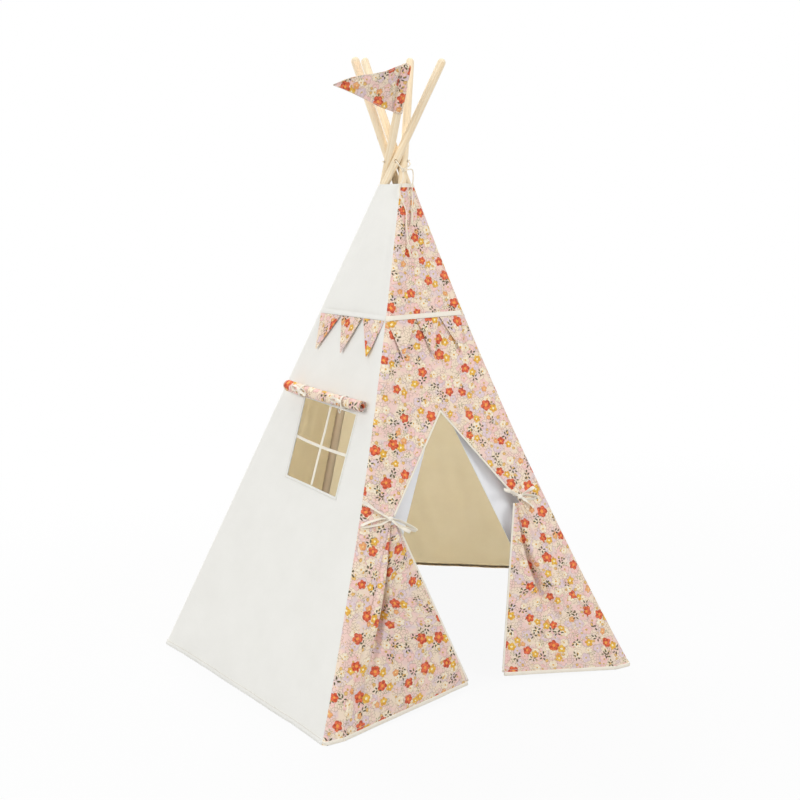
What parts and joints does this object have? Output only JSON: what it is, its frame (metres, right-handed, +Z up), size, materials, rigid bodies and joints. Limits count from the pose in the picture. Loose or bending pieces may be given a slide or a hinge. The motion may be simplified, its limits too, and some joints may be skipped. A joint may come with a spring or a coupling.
{
  "type": "play teepee",
  "caption": "Child's play teepee: pine poles laced together near the top, cotton walls, a tied-back door, a window under a rolled blind, bunting and a flag; the poles fold together.",
  "frame": {"origin": "on the floor, under the middle of the tent's bounding box", "axes": "+Z up; the door faces -Y; the wall with the window faces -X"},
  "size_m": [1.2655, 1.2192, 1.6315],
  "materials": {
    "pine": "pale pine, sanded, unvarnished",
    "white_cotton": "plain woven cotton",
    "beige_cotton": "plain woven cotton",
    "floral_cotton": "plain woven cotton printed with small flowers",
    "cream_tape": "cotton tape",
    "cord": "twisted cotton cord"
  },
  "bodies": {
    "lashing": {"lace": "cord", "tail_long": "cord", "tail_short": "cord"},
    "leg_front_left": {"pole_front_left": "pine", "sleeve_front_left": "white_cotton", "front_panel": "floral_cotton", "slit_binding_left": "cream_tape", "slit_binding_right": "cream_tape", "door_lining_left": "white_cotton", "door_tie_left": "cream_tape", "bunting_band_front": "cream_tape"},
    "leg_front_right": {"pole_front_right": "pine", "sleeve_front_right": "white_cotton", "wall_right": "white_cotton", "hem_right": "cream_tape", "door_lining_right": "white_cotton", "door_tie_right": "cream_tape", "bunting_band_right": "cream_tape"},
    "leg_right": {"pole_right": "pine", "sleeve_right": "white_cotton", "wall_back_right": "beige_cotton", "hem_back_right": "cream_tape"},
    "leg_back": {"pole_back": "pine", "sleeve_back": "beige_cotton", "wall_back_left": "beige_cotton", "hem_back_left": "cream_tape"},
    "leg_left": {"pole_left": "pine", "sleeve_left": "white_cotton", "wall_left": "white_cotton", "hem_left": "cream_tape", "window_binding": "cream_tape", "window_bar_upright": "cream_tape", "window_bar_level": "cream_tape", "rolled_blind": "floral_cotton", "blind_tie_left": "cream_tape", "blind_tie_right": "cream_tape", "bunting_band_left": "cream_tape"},
    "flag": {"flag": "floral_cotton"},
    "flap_left": {"door_flap_left": "floral_cotton", "flap_hem_left": "cream_tape", "flap_binding_left": "cream_tape"},
    "flap_right": {"door_flap_right": "floral_cotton", "flap_hem_right": "cream_tape", "flap_binding_right": "cream_tape"},
    "pennant_front_1": {"pennant_front_1": "floral_cotton"},
    "pennant_front_2": {"pennant_front_2": "floral_cotton"},
    "pennant_front_3": {"pennant_front_3": "floral_cotton"},
    "pennant_left_1": {"pennant_left_1": "floral_cotton"},
    "pennant_left_2": {"pennant_left_2": "floral_cotton"},
    "pennant_left_3": {"pennant_left_3": "floral_cotton"},
    "pennant_right_1": {"pennant_right_1": "floral_cotton"},
    "pennant_right_2": {"pennant_right_2": "floral_cotton"},
    "pennant_right_3": {"pennant_right_3": "floral_cotton"}
  },
  "joints": [
    {"name": "fold_front_left", "type": "hinge", "parent": "lashing", "child": "leg_front_left", "pos_m": [0.01581, -0.15091, 1.352], "axis": [0.7008, -0.7133, 0], "range_deg": [0, 17.05], "deforming": ["front_panel", "slit_binding_left", "slit_binding_right", "door_lining_left", "door_tie_left", "bunting_band_front", "pennant_front_1", "pennant_front_2", "pennant_front_3", "door_flap_left", "flap_hem_left", "flap_binding_left"]},
    {"name": "fold_front_right", "type": "hinge", "parent": "lashing", "child": "leg_front_right", "pos_m": [0.01692, -0.11988, 1.352], "axis": [0.7499, 0.6615, 0], "range_deg": [0, 17.07], "deforming": ["wall_right", "hem_right", "door_lining_right", "door_tie_right", "bunting_band_right", "pennant_right_1", "pennant_right_2", "pennant_right_3", "door_flap_right", "flap_hem_right", "flap_binding_right"]},
    {"name": "fold_right", "type": "hinge", "parent": "lashing", "child": "leg_right", "pos_m": [-0.00867, -0.11398, 1.352], "axis": [-0.3842, 0.9232, 0], "range_deg": [0, 18.57], "deforming": ["wall_back_right", "hem_back_right"]},
    {"name": "fold_back", "type": "hinge", "parent": "lashing", "child": "leg_back", "pos_m": [-0.02256, -0.13411, 1.352], "axis": [-0.9995, 0.031, 0], "range_deg": [0, 20.33], "deforming": ["wall_back_left", "hem_back_left"]},
    {"name": "fold_left", "type": "hinge", "parent": "lashing", "child": "leg_left", "pos_m": [-0.01004, -0.15502, 1.352], "axis": [-0.445, -0.8955, 0], "range_deg": [0, 18.57], "deforming": ["wall_left", "hem_left", "window_binding", "window_bar_upright", "window_bar_level", "rolled_blind", "blind_tie_left", "blind_tie_right", "bunting_band_left", "pennant_left_1", "pennant_left_2", "pennant_left_3"]},
    {"name": "flap_left_swing", "type": "hinge", "parent": "leg_front_left", "child": "flap_left", "pos_m": [-0.39517, -0.60543, 0.0106], "axis": [-0.3972, -0.2883, -0.8713], "range_deg": [0, 50]},
    {"name": "flap_right_swing", "type": "hinge", "parent": "leg_front_right", "child": "flap_right", "pos_m": [0.39517, -0.60531, 0.0106], "axis": [-0.3955, 0.3012, 0.8676], "range_deg": [0, 50]},
    {"name": "pennant_front_1_lift", "type": "hinge", "parent": "leg_front_left", "child": "pennant_front_1", "pos_m": [-0.06521, -0.29786, 0.9441], "axis": [-0.9952, -0.0979, 0], "range_deg": [0, 100]},
    {"name": "pennant_front_2_lift", "type": "hinge", "parent": "leg_front_left", "child": "pennant_front_2", "pos_m": [0.0078, -0.29068, 0.9441], "axis": [-0.9952, -0.0979, 0], "range_deg": [0, 100]},
    {"name": "pennant_front_3_lift", "type": "hinge", "parent": "leg_front_left", "child": "pennant_front_3", "pos_m": [0.08081, -0.28349, 0.9441], "axis": [-0.9952, -0.0979, 0], "range_deg": [0, 100]},
    {"name": "pennant_left_1_lift", "type": "hinge", "parent": "leg_left", "child": "pennant_left_1", "pos_m": [-0.19059, -0.10709, 0.9516], "axis": [-0.3697, 0.9283, 0.0383], "range_deg": [0, 100]},
    {"name": "pennant_left_2_lift", "type": "hinge", "parent": "leg_left", "child": "pennant_left_2", "pos_m": [-0.16152, -0.18029, 0.9486], "axis": [-0.368, 0.929, 0.0378], "range_deg": [0, 100]},
    {"name": "pennant_left_3_lift", "type": "hinge", "parent": "leg_left", "child": "pennant_left_3", "pos_m": [-0.13216, -0.25458, 0.9456], "axis": [-0.3663, 0.9297, 0.0373], "range_deg": [0, 100]},
    {"name": "pennant_right_1_lift", "type": "hinge", "parent": "leg_front_right", "child": "pennant_right_1", "pos_m": [0.1415, -0.23063, 0.9441], "axis": [-0.2762, -0.9611, 0], "range_deg": [0, 100]},
    {"name": "pennant_right_2_lift", "type": "hinge", "parent": "leg_front_right", "child": "pennant_right_2", "pos_m": [0.16356, -0.15388, 0.9441], "axis": [-0.2762, -0.9611, 0], "range_deg": [0, 100]},
    {"name": "pennant_right_3_lift", "type": "hinge", "parent": "leg_front_right", "child": "pennant_right_3", "pos_m": [0.18561, -0.07712, 0.9441], "axis": [-0.2762, -0.9611, 0], "range_deg": [0, 100]},
    {"name": "flag_swivel", "type": "hinge", "parent": "leg_back", "child": "flag", "pos_m": [-0.02497, -0.21201, 1.49668], "axis": [-0.0147, -0.474, 0.8804], "range_deg": [0, 110]}
  ],
  "couplings": [
    {"joint": "fold_front_right", "follows": "fold_front_left", "ratio": 1},
    {"joint": "fold_right", "follows": "fold_front_left", "ratio": 1.0877},
    {"joint": "fold_back", "follows": "fold_front_left", "ratio": 1.191},
    {"joint": "fold_left", "follows": "fold_front_left", "ratio": 1.0877}
  ]
}
